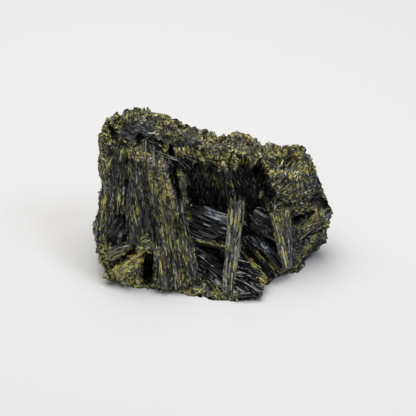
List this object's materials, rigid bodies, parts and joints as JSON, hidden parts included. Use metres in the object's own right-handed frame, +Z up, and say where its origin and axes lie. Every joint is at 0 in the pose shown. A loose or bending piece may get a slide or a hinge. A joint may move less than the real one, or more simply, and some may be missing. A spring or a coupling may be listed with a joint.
{
  "type": "epidote crystal cluster",
  "caption": "Mineral specimen: dark striated epidote blades and prisms in fans round an open cavity, crusted with pistachio-green grains, standing on a flat broken foot.",
  "frame": {"origin": "centre of the specimen's bounding box in plan, on the plane of its flat foot", "axes": "+X to the viewer's right along the specimen's width, +Y to its back, +Z up"},
  "size_m": [0.0653, 0.0378, 0.0435],
  "materials": {
    "epidote": "vitreous to dull: glossy dark striated blades, with a sugary pistachio-green and grey crust"
  },
  "bodies": {
    "root": {"epidote_cluster": "epidote"}
  },
  "joints": []
}
